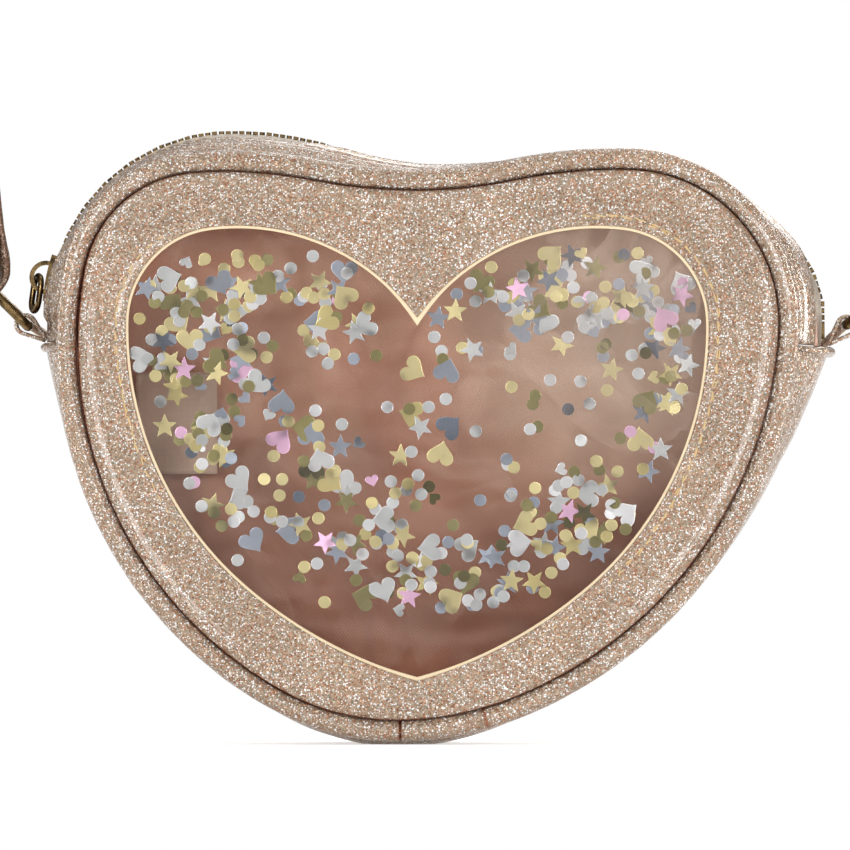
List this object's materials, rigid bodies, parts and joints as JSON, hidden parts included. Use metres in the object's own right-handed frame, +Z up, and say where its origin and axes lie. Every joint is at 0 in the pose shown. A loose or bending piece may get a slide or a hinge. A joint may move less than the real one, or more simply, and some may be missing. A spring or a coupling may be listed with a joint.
{
  "type": "heart shaped purse",
  "caption": "Small heart-shaped crossbody purse with a clear confetti window, piped edges, a curved zip over the top and a long strap on two metal rings.",
  "frame": {"origin": "centre of the flat under the heart's tip, on the surface that the purse stands on", "axes": "+Z up through the heart, -Y out of the window side, +X to the viewer's right across the heart"},
  "size_m": [0.2887, 0.0635, 0.1697],
  "materials": {
    "glitter_leather": "rose-beige coated leather with fine white and copper glitter",
    "cream_edge": "cream coated edge, satin",
    "clear_pvc": "clear soft PVC film, glossy",
    "confetti_gold": "metallised film, pale and olive gold",
    "confetti_silver": "metallised film, silver and blue-grey",
    "confetti_pink": "metallised film, lilac pink",
    "satin_lining": "peach rose twill satin",
    "label_white": "white woven ribbon, bare",
    "piping_cord": "off-white filler cord",
    "zip_tape": "cream woven zip tape",
    "antique_brass": "antique brass, softly polished"
  },
  "bodies": {
    "bag": {"front_panel": "glitter_leather", "window_facing": "cream_edge", "window_sheet_outer": "clear_pvc", "window_sheet_inner": "clear_pvc", "confetti_rounds": "confetti_gold", "confetti_stars": "confetti_silver", "confetti_hearts": "confetti_pink", "front_lining": "satin_lining", "back_panel": "glitter_leather", "back_lining": "satin_lining", "care_label": "label_white", "front_piping": "glitter_leather", "front_piping_cord": "piping_cord", "back_piping": "glitter_leather", "back_piping_cord": "piping_cord", "gusset_bottom": "glitter_leather", "gusset_lining": "satin_lining", "zip_strip_front": "glitter_leather", "zip_strip_back": "glitter_leather", "zip_strip_linings": "satin_lining", "zip_tape_front": "zip_tape", "zip_tape_back": "zip_tape", "zip_teeth_front": "antique_brass", "zip_teeth_back": "antique_brass", "zip_stops": "antique_brass", "left_tab": "glitter_leather", "right_tab": "glitter_leather", "strap_left": "glitter_leather", "strap_right": "glitter_leather", "strap_roll": "glitter_leather"},
    "slider": {"slider_body": "antique_brass", "slider_crown": "antique_brass"},
    "puller": {"zip_puller": "antique_brass"},
    "left_ring": {"left_strap_ring": "antique_brass", "strap_end_left": "glitter_leather"},
    "right_ring": {"right_strap_ring": "antique_brass", "strap_end_right": "glitter_leather"}
  },
  "joints": [
    {"name": "zip_slide", "type": "hinge", "parent": "bag", "child": "slider", "pos_m": [-0.04729, 0, 0.10511], "axis": [0, 1, 0], "range_deg": [0, 81], "deforming": ["zip_teeth_front", "zip_teeth_back"]},
    {"name": "puller_swing", "type": "hinge", "parent": "slider", "child": "puller", "pos_m": [-0.09459, 0, 0.11456], "axis": [0, 1, 0], "range_deg": [0, 150], "deforming": ["strap_end_left"]},
    {"name": "left_ring_swing", "type": "hinge", "parent": "bag", "child": "left_ring", "pos_m": [-0.09721, 0, 0.10225], "axis": [0, 1, 0], "range_deg": [-30, 10], "deforming": ["strap_left"]},
    {"name": "right_ring_swing", "type": "hinge", "parent": "bag", "child": "right_ring", "pos_m": [0.10326, 0, 0.10256], "axis": [0, 1, 0], "range_deg": [-10, 30], "deforming": ["strap_right"]}
  ]
}
